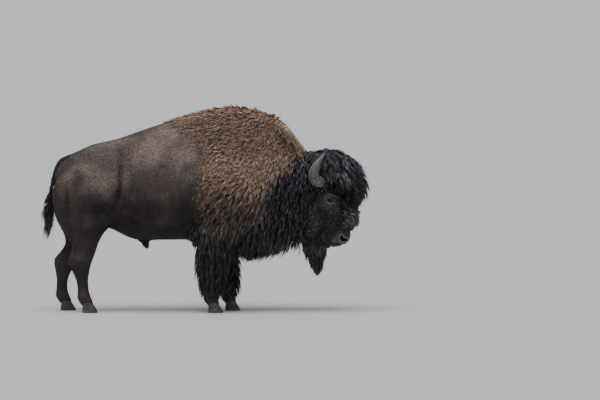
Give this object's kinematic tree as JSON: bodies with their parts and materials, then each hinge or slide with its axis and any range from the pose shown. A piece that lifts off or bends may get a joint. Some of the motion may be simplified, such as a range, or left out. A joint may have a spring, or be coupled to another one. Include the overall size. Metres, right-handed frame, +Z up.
{
  "type": "american bison",
  "caption": "Life-size still model of a standing bull bison with a high shaggy hump, low head, curved horns, beard and long hair on the forelegs.",
  "frame": {"origin": "on the floor, under the middle of the bull's box", "axes": "+X towards the head, +Y towards the animal's left, +Z up"},
  "size_m": [2.7868, 0.7808, 1.8006],
  "materials": {
    "short_coat": "short sleek dark brown fur",
    "cape_coat": "long curly brown hair in locks",
    "dark_coat": "long black-brown hair",
    "horn_sheath": "grey horn, satin",
    "hoof_horn": "dark hoof horn, satin",
    "eye_glass": "wet dark eye, glossy"
  },
  "bodies": {
    "root": {"beard": "dark_coat", "dewclaw_fore_left_inner": "hoof_horn", "dewclaw_fore_left_outer": "hoof_horn", "dewclaw_fore_right_inner": "hoof_horn", "dewclaw_fore_right_outer": "hoof_horn", "dewclaw_hind_left_inner": "hoof_horn", "dewclaw_hind_left_outer": "hoof_horn", "dewclaw_hind_right_inner": "hoof_horn", "dewclaw_hind_right_outer": "hoof_horn", "ear_left": "dark_coat", "ear_right": "dark_coat", "eye_left": "eye_glass", "eye_right": "eye_glass", "forelock": "dark_coat", "head": "dark_coat", "hoof_fore_left_inner": "hoof_horn", "hoof_fore_left_outer": "hoof_horn", "hoof_fore_right_inner": "hoof_horn", "hoof_fore_right_outer": "hoof_horn", "hoof_hind_left_inner": "hoof_horn", "hoof_hind_left_outer": "hoof_horn", "hoof_hind_right_inner": "hoof_horn", "hoof_hind_right_outer": "hoof_horn", "horn_left": "horn_sheath", "horn_right": "horn_sheath", "leg_fore_left": "dark_coat", "leg_fore_right": "dark_coat", "leg_hind_left": "short_coat", "leg_hind_right": "short_coat", "neck": "cape_coat", "tail": "dark_coat", "tail_tuft": "dark_coat", "trunk": "short_coat"}
  },
  "joints": []
}
